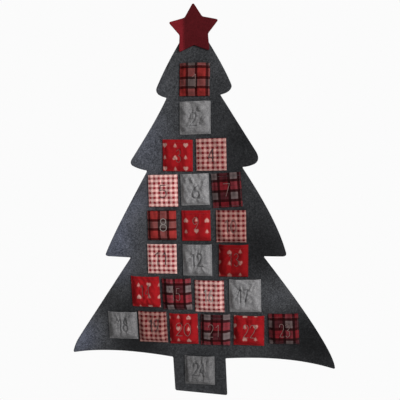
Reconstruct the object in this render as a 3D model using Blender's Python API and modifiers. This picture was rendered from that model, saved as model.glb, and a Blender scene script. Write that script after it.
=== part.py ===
"""A wall advent calendar: a felt fir tree with a star, a hanging tab and 24 numbered pockets.

Metres, +Z up, the front faces -Y. The origin is the hanging point, the top of the hole in the tab.
"""

import math

import bmesh
import bpy
from mathutils import Vector

mm = 0.001

# Thicknesses, and the clearance left where two sewn pieces meet
panel_thickness = 4.0 * mm
star_thickness = 3.0 * mm
tab_thickness = 3.0 * mm
cloth_thickness = 1.2 * mm
sewn_gap = 0.3 * mm

# Pockets of the whole calendar, and the felt left bare round them
pocket_width = 75 * mm
pocket_height = 80 * mm
column_gap = 12 * mm
row_gap = 11 * mm
crown_height = 69 * mm
foot_margin = 80 * mm
foliage_hem = 34 * mm
trunk_margin = 32 * mm
trunk_hem = 17 * mm
pocket_rows = (
    (1,),
    (2,),
    (3, 4),
    (5, 6, 7),
    (8, 9, 10),
    (11, 12, 13),
    (14, 15, 16, 17),
    (18, 19, 20, 21, 22, 23),
)
trunk_day = 24

# Day: fabric, then as shares its shift across and up (of the gaps between pockets) and its
# width and height (of a pocket's), then its turn and the lean of its sides in degrees
pocket_shares = {
    1: ("tartan", 0.35, 0, 1, 0.99, 2, 0),
    2: ("grey_felt", 0.25, -0.3, 1.03, 1.01, 0, 1),
    3: ("red_print", 0, -0.45, 1.01, 0.98, 2, -1),
    4: ("gingham", -0.1, -0.45, 1, 0.99, 0, 0),
    5: ("gingham", 0.25, -0.3, 1.01, 1.01, 0, 0),
    6: ("grey_felt", -0.1, -0.1, 0.95, 0.98, -1, 0),
    7: ("dark_tartan", -0.6, -0.3, 0.97, 1.06, -3, 0),
    8: ("tartan", -0.2, -0.1, 0.99, 0.95, 0, 0),
    9: ("red_print", 0, -0.2, 0.97, 0.96, 0, 0),
    10: ("gingham", 0.2, -0.35, 0.99, 1, 0, 0),
    11: ("gingham", -0.35, 0.2, 1.01, 0.95, 0, 0),
    12: ("grey_felt", 0.1, 0, 0.99, 1, 0, 0),
    13: ("red_print", 0.6, 0, 0.97, 1.01, 0, 1),
    14: ("red_print", -0.6, 0.55, 0.99, 1, 1, -3),
    15: ("dark_tartan", -0.9, 0.1, 1, 1.01, -1, -1),
    16: ("gingham", -1.05, -0.2, 0.99, 1.02, 0, 0),
    17: ("grey_felt", -0.7, 0.1, 1.05, 1.04, -1, 1),
    18: ("grey_felt", 1.25, 0.25, 1.03, 0.9, 0, -2),
    19: ("gingham", 0.8, 0.1, 0.99, 1.01, 0, -2),
    20: ("red_print", 0.45, -0.1, 0.97, 0.99, -1, 0),
    21: ("dark_tartan", 0.1, -0.1, 1, 1, -1, 2),
    22: ("red_print", 0, 0.1, 1.01, 0.96, 0, 1),
    23: ("dark_tartan", 0, 0.65, 0.97, 0.96, -2, 0),
    24: ("grey_felt", 0.1, 0, 1.03, 0.94, 0, 0),
}

# Cloth of a pocket: flat in a seam on three sides, then bellying out to an open mouth
seam_width = 3 * mm
belly = 8 * mm
belly_reach_share = 0.7
belly_power = 2.2
belly_step_shares = (0.2, 0.55, 1.0)
mouth_step_share = 0.5
slope_span = 1 * mm

# Hanging tab: a felt plate with a hole for the nail, its edges rounded, folding on its foot
hole_radius = 6 * mm
tab_rim = 6 * mm
apex_drop = 30 * mm
tab_arc_steps = 16

# Tree outline, down the left side, along the foot and up the right side. Each corner gives its
# place across and down, its kind, and the bow of the side that follows: how far it stands
# outside a straight line, of its own length, and where along it that is.
foliage_left_shares = (
    (-0.067, 0, "apex", 0.007, 0.5),
    (-0.287, 0.162, "tip", 0.09, 0.4),
    (-0.205, 0.183, "notch", -0.016, 0.4),
    (-0.499, 0.382, "tip", 0.06, 0.4),
    (-0.37, 0.406, "notch", 0.02, 0.6),
    (-0.713, 0.678, "tip", 0, 0.5),
    (-0.531, 0.683, "notch", 0.013, 0.85),
    (-1.009, 1.001, "foot", -0.033, 0.5),
)
trunk_corner_shares = (
    (-1, 0, "trunk", 0, 0.5),
    (-0.94, 0.97, "trunk", 0, 0.5),
    (1.03, 1.03, "trunk", 0, 0.5),
    (1, 0, "trunk", -0.037, 0.5),
)
foliage_right_shares = (
    (1, 1.021, "foot", 0.052, 0.25),
    (0.504, 0.676, "notch", 0, 0.5),
    (0.657, 0.676, "tip", 0.041, 0.35),
    (0.358, 0.402, "notch", 0.09, 0.5),
    (0.478, 0.382, "tip", 0.016, 0.5),
    (0.199, 0.18, "notch", 0.09, 0.5),
    (0.287, 0.162, "tip", 0.013, 0.5),
    (0.091, 0, "apex", 0, 0.5),
)
roundings = {
    "apex": 12 * mm,
    "tip": 13 * mm,
    "notch": 4 * mm,
    "foot": 10 * mm,
    "trunk": 5 * mm,
}
corner_steps = 4
outline_step = 32 * mm

# Star: a five-pointed felt plate in front of the tip of the tree
star_centre_x = 3 * mm
star_drop = 17 * mm
star_radius = 66 * mm
star_waist_share = 0.57
star_tip_rounding = 7 * mm
star_waist_rounding = 4 * mm
star_points = 5

# Numbers: stitched thread lying on the front of the pockets
thread_radius = 0.8 * mm
running_thread_radius = 0.5 * mm
digit_height = 32 * mm
lone_digit_width = 17 * mm
pair_digit_width = 13.5 * mm
pair_digit_gap = 4 * mm
thread_step = 4.5 * mm
smooth_steps = 3
weld_distance = 0.001 * mm

# Strokes of each digit, as shares of its width and height from its lower left corner.
# A line has straight sides, a curve is smoothed and a ring is smoothed and closed.
digit_stroke_shares = {
    "0": (("ring", ((0.5, 1), (0.1, 0.8), (0, 0.5), (0.1, 0.2), (0.5, 0), (0.9, 0.2), (1, 0.5), (0.9, 0.8))),),
    "1": (("line", ((0.2, 0.78), (0.65, 1), (0.65, 0))),),
    "2": (
        ("curve", ((0.04, 0.76), (0.14, 0.93), (0.5, 1), (0.87, 0.92), (0.95, 0.72), (0.72, 0.45), (0.03, 0.01))),
        ("line", ((0.03, 0.01), (1, 0.01))),
    ),
    "3": (
        ("curve", ((0.05, 0.87), (0.4, 1), (0.84, 0.92), (0.85, 0.66), (0.42, 0.54))),
        ("curve", ((0.42, 0.54), (0.9, 0.42), (0.95, 0.16), (0.5, 0), (0.03, 0.12))),
    ),
    "4": (
        ("line", ((0.73, 0), (0.73, 1), (0.02, 0.3))),
        ("line", ((0.02, 0.3), (1, 0.3))),
    ),
    "5": (
        ("line", ((0.9, 1), (0.18, 1), (0.12, 0.57))),
        ("curve", ((0.12, 0.57), (0.5, 0.63), (0.92, 0.5), (0.95, 0.2), (0.55, 0), (0.03, 0.1))),
    ),
    "6": (
        ("curve", ((0.83, 1), (0.35, 0.78), (0.06, 0.45), (0.1, 0.14), (0.5, 0), (0.92, 0.16), (0.92, 0.42),
                   (0.58, 0.56), (0.27, 0.46))),
    ),
    "7": (("line", ((0.02, 1), (0.97, 1), (0.36, 0))),),
    "8": (
        ("ring", ((0.5, 1), (0.14, 0.9), (0.14, 0.66), (0.5, 0.53), (0.86, 0.66), (0.86, 0.9))),
        ("ring", ((0.5, 0.54), (0.04, 0.4), (0.04, 0.13), (0.5, 0), (0.96, 0.13), (0.96, 0.4))),
    ),
    "9": (
        ("curve", ((0.17, 0), (0.65, 0.22), (0.94, 0.55), (0.9, 0.86), (0.5, 1), (0.08, 0.84), (0.08, 0.58),
                   (0.42, 0.44), (0.73, 0.54))),
    ),
}
digit_foot_shares = {"0": 0.5, "1": 0.65, "2": 0.5, "3": 0.5, "4": 0.73, "5": 0.5, "6": 0.5, "7": 0.36, "8": 0.5,
                     "9": 0.17}

# Surface of each material: colour, roughness
looks = {
    "tree_felt": ((0.035, 0.038, 0.043), 0.95),
    "star_felt": ((0.30, 0.008, 0.014), 0.9),
    "grey_felt": ((0.22, 0.23, 0.24), 0.95),
    "red_print": ((0.55, 0.01, 0.015), 0.9),
    "gingham": ((0.62, 0.25, 0.24), 0.9),
    "tartan": ((0.36, 0.03, 0.03), 0.9),
    "dark_tartan": ((0.18, 0.02, 0.025), 0.9),
    "light_thread": ((0.45, 0.42, 0.40), 0.7),
    "dark_thread": ((0.10, 0.10, 0.105), 0.7),
}

# The pockets set the size of the tree
column_pitch = pocket_width + column_gap
row_pitch = pocket_height + row_gap
apex_z = -apex_drop
foliage_height = crown_height + len(pocket_rows) * row_pitch - row_gap + foliage_hem
foliage_foot_z = apex_z - foliage_height
tree_half_width = len(pocket_rows[-1]) * column_pitch / 2 + foot_margin
trunk_half_width = pocket_width / 2 + trunk_margin
trunk_height = pocket_height + trunk_hem
panel_front_y = -panel_thickness / 2
sewn_front_y = panel_front_y - sewn_gap


def cleared_collection(name):
    for old in list(bpy.data.objects):
        bpy.data.objects.remove(old)
    made = bpy.data.collections.new(name)
    bpy.context.scene.collection.children.link(made)
    return made


calendar = cleared_collection("advent_calendar")
helpers = bpy.data.collections.new("stroke_helpers")
bpy.context.scene.collection.children.link(helpers)
helpers.hide_render = True


def placed(obj, look):
    """The object, linked to the calendar and with a Principled material of its own."""
    calendar.objects.link(obj)
    colour, roughness = looks[look]
    material = bpy.data.materials.new(f"{obj.name}_{look}")
    material.use_nodes = True
    shader = material.node_tree.nodes["Principled BSDF"]
    shader.inputs["Base Color"].default_value = (*colour, 1)
    shader.inputs["Roughness"].default_value = roughness
    obj.data.materials.append(material)
    return obj


def quadratic(start, control, end, t):
    return start * (1 - t) ** 2 + control * 2 * t * (1 - t) + end * t**2


def rounded_outline(corners):
    """Points round a closed outline of (corner, rounding, bow share, bow place share), outward on the right."""
    sides = []
    for i, (start, _, bow_share, place_share) in enumerate(corners):
        end = corners[(i + 1) % len(corners)][0]
        along = end - start
        outward = Vector((along.y, -along.x))
        sides.append((start, start + along * place_share + outward * 2 * bow_share, end))
    lengths = [(end - start).length for start, _, end in sides]
    points = []
    for i, (corner, rounding, bow_share, _) in enumerate(corners):
        first = rounding / lengths[i]
        last = 1 - corners[(i + 1) % len(corners)][1] / lengths[i]
        entry = quadratic(*sides[i - 1], 1 - rounding / lengths[i - 1])
        leave = quadratic(*sides[i], first)
        points += [quadratic(entry, corner, leave, step / corner_steps) for step in range(corner_steps + 1)]
        steps = math.ceil(lengths[i] / outline_step) if bow_share else 1
        points += [quadratic(*sides[i], first + (last - first) * step / steps) for step in range(1, steps)]
    return points


def flat_curve(name, outlines):
    """A filled 2D curve in the XZ plane: its front is its local +Z, and inner outlines are holes."""
    curve = bpy.data.curves.new(name, "CURVE")
    curve.dimensions = "2D"
    curve.fill_mode = "BOTH"
    for outline in outlines:
        spline = curve.splines.new("POLY")
        spline.points.add(len(outline) - 1)
        for point, corner in zip(spline.points, outline):
            point.co = (*corner, 0, 1)
        spline.use_cyclic_u = True
    obj = bpy.data.objects.new(name, curve)
    obj.rotation_euler.x = math.radians(90)
    return obj


def tree_panel():
    corners = []
    for shares, half_width, height, top_z in (
        (foliage_left_shares, tree_half_width, foliage_height, apex_z),
        (trunk_corner_shares, trunk_half_width, trunk_height, foliage_foot_z),
        (foliage_right_shares, tree_half_width, foliage_height, apex_z),
    ):
        for across, down, kind, bow_share, place_share in shares:
            corner = Vector((across * half_width, top_z - down * height))
            corners.append((corner, roundings[kind], bow_share, place_share))
    panel = flat_curve("tree_panel", [rounded_outline(corners)])
    panel.data.extrude = panel_thickness / 2
    return placed(panel, "tree_felt")


def star():
    corners = []
    for i in range(2 * star_points):
        is_tip = i % 2 == 0
        radius = star_radius * (1 if is_tip else star_waist_share)
        angle = math.pi / 2 + math.pi * i / star_points
        corner = Vector((math.cos(angle), math.sin(angle))) * radius
        corners.append((corner, star_tip_rounding if is_tip else star_waist_rounding, 0, 0.5))
    plate = flat_curve("star", [rounded_outline(corners)])
    plate.data.extrude = star_thickness / 2
    plate.location = (star_centre_x, sewn_front_y - star_thickness / 2, -star_drop)
    return placed(plate, "star_felt")


def hanging_tab():
    """The tab stands between its rounded edges on the tip of the tree, and its origin is on its fold."""
    edge_radius = tab_thickness / 2
    fold_z = apex_z + sewn_gap + edge_radius
    hole_y = -hole_radius - fold_z
    half_width = hole_radius + tab_rim - edge_radius
    outer = [Vector((-half_width, 0)), Vector((half_width, 0))]
    hole = []
    for step in range(tab_arc_steps + 1):
        angle = math.pi * step / tab_arc_steps
        outer.append(Vector((math.cos(angle) * half_width, hole_y + math.sin(angle) * half_width)))
    for step in range(2 * tab_arc_steps):
        angle = math.pi * step / tab_arc_steps
        hole.append(Vector((math.cos(angle), math.sin(angle))) * (hole_radius + edge_radius) + Vector((0, hole_y)))
    tab = flat_curve("hanging_tab", [outer, hole])
    tab.data.bevel_depth = edge_radius
    tab.data.bevel_resolution = 1
    tab.location.z = fold_z
    return placed(tab, "tree_felt")


def belly_reach(width):
    return belly_reach_share * (width / 2 - seam_width)


def rise(distance, width):
    """How far the cloth has bellied out at this distance in from its edge, as a share."""
    share = min(max((distance - seam_width) / belly_reach(width), 0), 1)
    return 1 - (1 - share) ** belly_power


def belly_height(x, y, width, height):
    return belly * rise(width / 2 - abs(x), width) * rise(height / 2 + y, width)


def on_cloth(x, y, width, height, offset):
    """The point this far outside the inner face of a pocket's cloth, square to it."""
    ahead_x, behind_x = (belly_height(x + side * slope_span / 2, y, width, height) for side in (1, -1))
    ahead_y, behind_y = (belly_height(x, y + side * slope_span / 2, width, height) for side in (1, -1))
    outward = Vector(((behind_x - ahead_x) / slope_span, (behind_y - ahead_y) / slope_span, 1)).normalized()
    return Vector((x, y, belly_height(x, y, width, height))) + outward * offset


def pocket_size(day):
    _, _, _, width_share, height_share, _, _ = pocket_shares[day]
    return pocket_width * width_share, pocket_height * height_share


def pocket(day, x, z):
    fabric, _, _, _, _, turn, lean = pocket_shares[day]
    width, height = pocket_size(day)
    inward = [0, seam_width] + [seam_width + belly_reach(width) * share for share in belly_step_shares]
    across = [step - width / 2 for step in inward] + [0] + [width / 2 - step for step in reversed(inward)]
    up = [step - height / 2 for step in inward]
    up += [height / 2 - (height - inward[-1]) * mouth_step_share, height / 2]
    shape = bmesh.new()
    bmesh.ops.create_grid(shape, x_segments=len(across) - 1, y_segments=len(up) - 1, size=1)
    for vertex in shape.verts:
        column_here = across[round((vertex.co.x + 1) / 2 * (len(across) - 1))]
        row_here = up[round((vertex.co.y + 1) / 2 * (len(up) - 1))]
        sideways = math.tan(math.radians(lean)) * row_here
        vertex.co = (column_here + sideways, row_here, belly_height(column_here, row_here, width, height))
    mesh = bpy.data.meshes.new(f"pocket_{day:02d}")
    shape.to_mesh(mesh)
    shape.free()
    mesh.shade_smooth()
    obj = placed(bpy.data.objects.new(mesh.name, mesh), fabric)
    cloth = obj.modifiers.new("cloth", "SOLIDIFY")
    cloth.thickness = cloth_thickness
    cloth.offset = 1
    cloth.use_even_offset = True
    obj.location = (x, sewn_front_y, z)
    obj.rotation_euler = (math.radians(90), math.radians(turn), 0)
    return obj


def thread(name, path, radius, closed=False):
    """A thread along the path, as a mesh with welded caps."""
    curve = bpy.data.curves.new(name, "CURVE")
    curve.dimensions = "3D"
    curve.bevel_depth = radius
    curve.bevel_resolution = 1
    curve.use_fill_caps = True
    spline = curve.splines.new("POLY")
    spline.points.add(len(path) - 1)
    for point, along in zip(spline.points, path):
        point.co = (*along, 1)
    spline.use_cyclic_u = closed
    guide = bpy.data.objects.new(name + "_guide", curve)
    mesh = bpy.data.meshes.new_from_object(guide)
    bpy.data.objects.remove(guide)
    mesh.name = name
    shape = bmesh.new()
    shape.from_mesh(mesh)
    bmesh.ops.remove_doubles(shape, verts=shape.verts, dist=weld_distance)
    bmesh.ops.recalc_face_normals(shape, faces=shape.faces)
    shape.to_mesh(mesh)
    shape.free()
    mesh.shade_smooth()
    return bpy.data.objects.new(name, mesh)


def smoothed(points, closed):
    """A curve through the points, its tangent at each running along the line between its neighbours."""
    count = len(points)
    path = []
    for i in range(count if closed else count - 1):
        a, b = points[i], points[(i + 1) % count]
        before = points[i - 1] if closed or i > 0 else a
        after = points[(i + 2) % count] if closed or i + 2 < count else b
        for step in range(smooth_steps):
            t = step / smooth_steps
            path.append(0.5 * (2 * a + (b - before) * t + (2 * before - 5 * a + 4 * b - after) * t**2
                               + (3 * a - before - 3 * b + after) * t**3))
    return path if closed else path + [points[-1]]


def stepped(points):
    """The same straight lines, cut short enough to follow the belly of the cloth."""
    path = [points[0]]
    for a, b in zip(points, points[1:]):
        steps = math.ceil((b - a).length / thread_step)
        path += [a + (b - a) * step / steps for step in range(1, steps + 1)]
    return path


def number_strokes(digits):
    """(radius, closed, flat path) of each thread of a number, about the middle of the number.

    Two digits are joined at the foot by the thread that runs on from one to the other.
    """
    width = lone_digit_width if len(digits) == 1 else pair_digit_width
    total = width * len(digits) + pair_digit_gap * (len(digits) - 1)
    strokes = []
    feet = []
    for i, digit in enumerate(digits):
        left = i * (width + pair_digit_gap) - total / 2
        for kind, shares in digit_stroke_shares[digit]:
            points = [Vector((left + across * width, (up - 0.5) * digit_height)) for across, up in shares]
            path = stepped(points) if kind == "line" else smoothed(points, kind == "ring")
            strokes.append((thread_radius, kind == "ring", path))
        feet.append(Vector((left + digit_foot_shares[digit] * width, -digit_height / 2)))
    if len(feet) > 1:
        strokes.append((running_thread_radius, False, stepped(feet)))
    return strokes


def number(day, on_pocket):
    name = f"number_{day:02d}"
    width, height = pocket_size(day)
    offset = cloth_thickness + sewn_gap + thread_radius
    whole = None
    for i, (radius, closed, flat_path) in enumerate(number_strokes(str(day))):
        path = [on_cloth(*point, width, height, offset) for point in flat_path]
        piece = thread(f"{name}_stroke_{i}" if whole else name, path, radius, closed)
        piece.parent = on_pocket
        if whole is None:
            on_grey = pocket_shares[day][0] == "grey_felt"
            whole = placed(piece, "dark_thread" if on_grey else "light_thread")
            continue
        helpers.objects.link(piece)
        piece.hide_render = True
        piece.display_type = "WIRE"
        union = whole.modifiers.new(piece.name, "BOOLEAN")
        union.operation = "UNION"
        union.object = piece
    return whole


def numbered_pockets():
    for row, days in enumerate(pocket_rows):
        row_z = apex_z - crown_height - pocket_height / 2 - row * row_pitch
        for column, day in enumerate(days):
            _, shift_across, shift_up, *_ = pocket_shares[day]
            x = (column - (len(days) - 1) / 2) * column_pitch + shift_across * column_gap
            number(day, pocket(day, x, row_z + shift_up * row_gap))
    _, height = pocket_size(trunk_day)
    x = pocket_shares[trunk_day][1] * column_gap
    number(trunk_day, pocket(trunk_day, x, foliage_foot_z - height / 2))


tree_panel()
star()
hanging_tab()
numbered_pockets()
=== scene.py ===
# Wall advent calendar: a felt fir tree with a star, 24 sewn pockets with stitched numbers, and a hanging tab.
# Metres, +Z up, the front faces -Y and the origin is the hanging point.
import math

import bpy
import numpy as np
from mathutils import Matrix, Vector
from mathutils.geometry import delaunay_2d_cdt


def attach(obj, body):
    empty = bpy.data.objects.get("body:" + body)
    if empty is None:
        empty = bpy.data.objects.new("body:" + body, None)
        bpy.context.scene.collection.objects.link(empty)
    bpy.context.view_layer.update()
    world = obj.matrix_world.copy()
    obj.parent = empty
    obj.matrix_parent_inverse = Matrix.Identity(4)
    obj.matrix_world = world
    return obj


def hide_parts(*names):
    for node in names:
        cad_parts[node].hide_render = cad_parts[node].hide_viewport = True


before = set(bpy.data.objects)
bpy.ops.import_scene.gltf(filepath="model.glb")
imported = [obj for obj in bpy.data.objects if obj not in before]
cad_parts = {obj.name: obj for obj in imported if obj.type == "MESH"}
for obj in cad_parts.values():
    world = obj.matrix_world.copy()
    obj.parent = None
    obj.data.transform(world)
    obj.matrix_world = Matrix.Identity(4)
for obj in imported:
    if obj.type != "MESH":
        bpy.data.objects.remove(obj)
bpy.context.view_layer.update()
mm = 0.001


# One output socket, so that sums on it are written as ordinary arithmetic
class Signal:
    def __init__(self, finish, socket):
        self.finish, self.socket = finish, socket

    def __add__(self, other):
        return self.finish.maths("ADD", self, other)

    def __radd__(self, other):
        return self.finish.maths("ADD", other, self)

    def __sub__(self, other):
        return self.finish.maths("SUBTRACT", self, other)

    def __rsub__(self, other):
        return self.finish.maths("SUBTRACT", other, self)

    def __mul__(self, other):
        return self.finish.maths("MULTIPLY", self, other)

    def __rmul__(self, other):
        return self.finish.maths("MULTIPLY", other, self)

    def __truediv__(self, other):
        return self.finish.maths("DIVIDE", self, other)

    def __rtruediv__(self, other):
        return self.finish.maths("DIVIDE", other, self)

    def __pow__(self, other):
        return self.finish.maths("POWER", self, other)

    def __rpow__(self, other):
        return self.finish.maths("POWER", other, self)


# Some nodes have several sockets of one name, and only one of them is in use
def socketNamed(sockets, name):
    return next(s for s in sockets if s.enabled and s.name == name)


# A node whose outputs are read by name
class Made:
    def __init__(self, finish, node):
        self.finish, self.node = finish, node

    def __getitem__(self, name):
        return Signal(self.finish, socketNamed(self.node.outputs, name))


# The nodes of a material, or of the world, built from its shader outwards
class Finish:
    def __init__(self, owner, constants=None):
        owner.use_nodes = True
        self.owner, self.tree = owner, owner.node_tree
        self.shader = self.tree.nodes.get("Principled BSDF") or self.tree.nodes["Background"]
        for name, value in (constants or {}).items():
            self.plug(self.shader.inputs[name], value)

    def plug(self, socket, value):
        if isinstance(value, Signal):
            self.tree.links.new(value.socket, socket)
        elif socket.type == "RGBA" and len(value) == 3:
            socket.default_value = (*value, 1)
        else:
            socket.default_value = value

    # kind of node, then its settings, then the values or links of its sockets by name or number
    def node(self, kind, settings=None, sockets=None):
        node = self.tree.nodes.new("ShaderNode" + kind)
        for name, value in (settings or {}).items():
            if name == "stops":
                while len(node.color_ramp.elements) < len(value):
                    node.color_ramp.elements.new(1)
                for stop, (place, colour) in zip(node.color_ramp.elements, value):
                    stop.position, stop.color = place, (*colour, 1)
            elif name == "between":
                node.color_ramp.interpolation = value
            else:
                setattr(node, name, value)
        for name, value in (sockets or {}).items():
            self.plug(node.inputs[name] if isinstance(name, int) else socketNamed(node.inputs, name), value)
        return Made(self, node)

    def maths(self, operation, *values):
        return self.node("Math", {"operation": operation}, dict(enumerate(values)))["Value"]

    def blend(self, share, first, second, mode="MIX"):
        return self.node("Mix", {"data_type": "RGBA", "blend_type": mode},
                         {"Factor": share, "A": first, "B": second})["Result"]

    def place(self):
        return self.node("TexCoord")["Object"]

    # the same, turned about Y by degrees and then drawn out along Z
    def drawnOut(self, turn, stretch):
        turned = self.node("Mapping", None, {"Vector": self.place(), "Rotation": (0, math.radians(turn), 0)})
        return self.node("Mapping", None, {"Vector": turned["Vector"], "Scale": (1, 1, stretch)})["Vector"]

    # noise of a scale per metre, a detail and a roughness
    def noise(self, kind, place=None):
        sockets = dict(zip(("Scale", "Detail", "Roughness"), kind))
        return self.node("TexNoise", None, {"Vector": place or self.place(), **sockets})["Fac"]

    # across and up the cloth in millimetres, from the piece's own flat map
    def cloth(self):
        flat = self.node("SeparateXYZ", None, {"Vector": self.node("UVMap", {"uv_map": "cloth"})["UV"]})
        return flat["X"] * 1000, flat["Y"] * 1000

    def ramp(self, share, stops, between="LINEAR"):
        return self.node("ValToRGB", {"stops": stops, "between": between}, {"Fac": share})["Color"]

    # 0 below low, 1 above high and a straight slope between
    def slope(self, value, low, high):
        ends = {"Value": value, "From Min": low, "From Max": high}
        return self.node("MapRange", {"clamp": True}, ends)["Result"]

    # 1 for what the camera sees, also in a reflection or through glass, and 0 for light on its way elsewhere
    def seen(self):
        path = self.node("LightPath")
        either = self.maths("MAXIMUM", path["Is Camera Ray"], path["Is Glossy Ray"])
        return self.maths("MAXIMUM", either, path["Is Transmission Ray"])

    def finished(self, colour, roughness, height, depth):
        self.plug(self.shader.inputs["Base Color"], colour)
        self.plug(self.shader.inputs["Roughness"], roughness)
        bumped = self.node("Bump", None, {"Height": height, "Distance": depth})["Normal"]
        self.plug(self.shader.inputs["Normal"], bumped)
        return self.owner


# How much lighter (+) or darker (-) a piece is painted, for its tone and for painted light and shade: 0.2 is
# a fifth lighter. Felt is painted bluer where it is painted lightest, and woven cloth a deeper colour where
# it is painted in shade.
paintedLightTints = {
    "felt": {"tint": (0.95, 0.99, 1.19), "none": 0.2, "full": 1.6},
    "cotton": {"tint": (1.03, 0.84, 0.80), "none": -0.05, "full": -0.5},
}


def toned(finish, colour, look):
    nap = finish.node("Attribute", {"attribute_name": "nap"})["Fac"]
    tinted = finish.blend(1, colour, look["tint"], "MULTIPLY")
    colour = finish.blend(finish.slope(nap, look["none"], look["full"]), colour, tinted)
    return finish.blend(1, colour, nap + 1, "MULTIPLY")


# Felts: tones are linear colours, and a noise is its scale per metre, detail and roughness
felts = {
    "treeFelt": {
        "dark": (0.010, 0.0103, 0.0112), "mid": (0.029, 0.0297, 0.0318), "light": (0.066, 0.067, 0.071),
        "lumps": (330, 6, 0.62), "fibres": (900, 3, 0.6), "mottle": (150, 3, 0.6), "cloud": (11, 3, 0.55),
        "depth": 0.7 * mm, "sheen": 0.03,
    },
    "starFelt": {
        "dark": (0.045, 0.0022, 0.0035), "mid": (0.062, 0.0032, 0.005), "light": (0.085, 0.006, 0.009),
        "lumps": (400, 6, 0.62), "fibres": (1000, 3, 0.6), "mottle": (120, 3, 0.6), "cloud": (26, 3, 0.55),
        "depth": 0.5 * mm, "sheen": 0.02,
        "creaseFrom": -17 * mm, "creaseTo": -25 * mm, "beyondCrease": 2.2,  # painted light: this much lighter left of the crease
    },
    "greyFelt": {
        "dark": (0.100, 0.098, 0.100), "mid": (0.165, 0.160, 0.161), "light": (0.25, 0.241, 0.240),
        "lumps": (330, 6, 0.62), "fibres": (800, 3, 0.6), "mottle": (150, 3, 0.6), "cloud": (45, 3, 0.55),
        "depth": 0.9 * mm, "sheen": 0.05,
    },
}
# What all felts share: how much each noise counts, and how the fibres lie
feltMake = {
    "inTone": {"lumps": 0.6, "fibres": 0.22, "mottle": 0.22, "cloud": 0.2},
    "toneLess": 0.23,  # it brings the middle of that sum to 0.5
    "tonesAt": (0.36, 0.5, 0.66),  # where the dark, mid and light tones are on it
    "inHeight": {"lumps": 0.6, "fibres": 0.5},
    "fibreTurns": (35, -50),  # degrees
    "fibreStretch": 0.16,
    "roughness": 0.98, "smoothing": 0.16,  # it is less rough where it is lighter
    "shader": {"Sheen Roughness": 0.55, "Specular IOR Level": 0.08},
}


# Matted wool: lumps, mottles, clouds and two noises drawn out into crossing fibres set the tone and the fuzz
def feltFinish(name, look):
    finish = Finish(bpy.data.materials.new(name), {"Sheen Weight": look["sheen"], **feltMake["shader"]})
    lumps, mottle, cloud = (finish.noise(look[part]) for part in ("lumps", "mottle", "cloud"))
    oneWay, otherWay = (finish.noise(look["fibres"], finish.drawnOut(turn, feltMake["fibreStretch"]))
                        for turn in feltMake["fibreTurns"])
    counts = feltMake["inTone"]
    tone = (lumps * counts["lumps"] + (oneWay + otherWay) * counts["fibres"] + mottle * counts["mottle"]
            + cloud * counts["cloud"] - feltMake["toneLess"])
    tones = (look["dark"], look["mid"], look["light"])
    colour = finish.ramp(tone, list(zip(feltMake["tonesAt"], tones)))
    # painted light: left of its crease the star is painted lighter, where its fold turns to the lamp
    if "beyondCrease" in look:
        across = finish.node("SeparateXYZ", None, {"Vector": finish.place()})["X"]
        beyond = finish.slope(across, look["creaseFrom"], look["creaseTo"])
        colour = finish.blend(beyond, colour, (look["beyondCrease"],) * 3, "MULTIPLY")
    counts = feltMake["inHeight"]
    height = lumps * counts["lumps"] + oneWay * counts["fibres"] + otherWay * counts["fibres"]
    roughness = feltMake["roughness"] - tone * feltMake["smoothing"]
    return finish.finished(toned(finish, colour, paintedLightTints["felt"]), roughness, height, look["depth"])


# What all cottons share: sizes in millimetres, noises as for felt
cottonMake = {
    "thread": 0.55,
    "ribThreads": 4, "ribEdge": (0.45, 0.55),  # threads to each diagonal rib of a twill, and its soft edge
    "showThrough": 0.5,  # how much of the single threads is seen in the mix of colours
    "wear": (90, 3, 0.6), "slub": (1500, 2, 0.5),
    "inWear": {"wear": 0.6, "slub": 0.4},
    "wornTones": [(0.3, (0.80,) * 3), (0.7, (1.12,) * 3)],
    "inHeight": {"over": 0.3, "hills": 0.18, "slub": 0.35},
    "roughness": 0.82, "slubRoughness": 0.12,
    "depth": 0.16 * mm,
    "shader": {"Sheen Weight": 0.005, "Sheen Roughness": 0.5, "Specular IOR Level": 0.05},
}
blackLine = (0.012, 0.0016, 0.0016)


def cottonFinish(name):
    return Finish(bpy.data.materials.new(name), cottonMake["shader"])


# Woven cloth: at each crossing either the warp or the weft lies on top. The tartans, with their black
# lines, are twills, where that runs on diagonally.
def wovenFinish(finish, across, up, warp, weft, line=None):
    thread = cottonMake["thread"]
    if line:
        rib = finish.maths("FRACT", (across + up) / (thread * cottonMake["ribThreads"]))
        over = finish.slope(rib, *cottonMake["ribEdge"])
    else:
        crossing = finish.maths("FLOOR", across / thread) + finish.maths("FLOOR", up / thread)
        over = 2 * finish.maths("FRACT", crossing * 0.5)
    shown = over * cottonMake["showThrough"] + (1 - cottonMake["showThrough"]) / 2
    colour = finish.blend(shown, warp, weft)
    if line:
        colour = finish.blend(line, colour, blackLine)
    wear, slub = finish.noise(cottonMake["wear"]), finish.noise(cottonMake["slub"])
    worn = wear * cottonMake["inWear"]["wear"] + slub * cottonMake["inWear"]["slub"]
    colour = finish.blend(1, colour, finish.ramp(worn, cottonMake["wornTones"]), "MULTIPLY")
    perThread = 2 * math.pi / thread
    hills = finish.maths("SINE", across * perThread) + finish.maths("SINE", up * perThread)
    counts = cottonMake["inHeight"]
    height = 0.5 + (over - 0.5) * counts["over"] + hills * counts["hills"] + slub * counts["slub"]
    roughness = cottonMake["roughness"] + slub * cottonMake["slubRoughness"]
    return finish.finished(toned(finish, colour, paintedLightTints["cotton"]), roughness, height, cottonMake["depth"])


# blur is how soft the edge of a check is, as a share of the check
gingham = {"cream": (0.69, 0.42, 0.378), "red": (0.180, 0.010, 0.017), "check": 12.4, "blur": 0.10}


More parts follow.
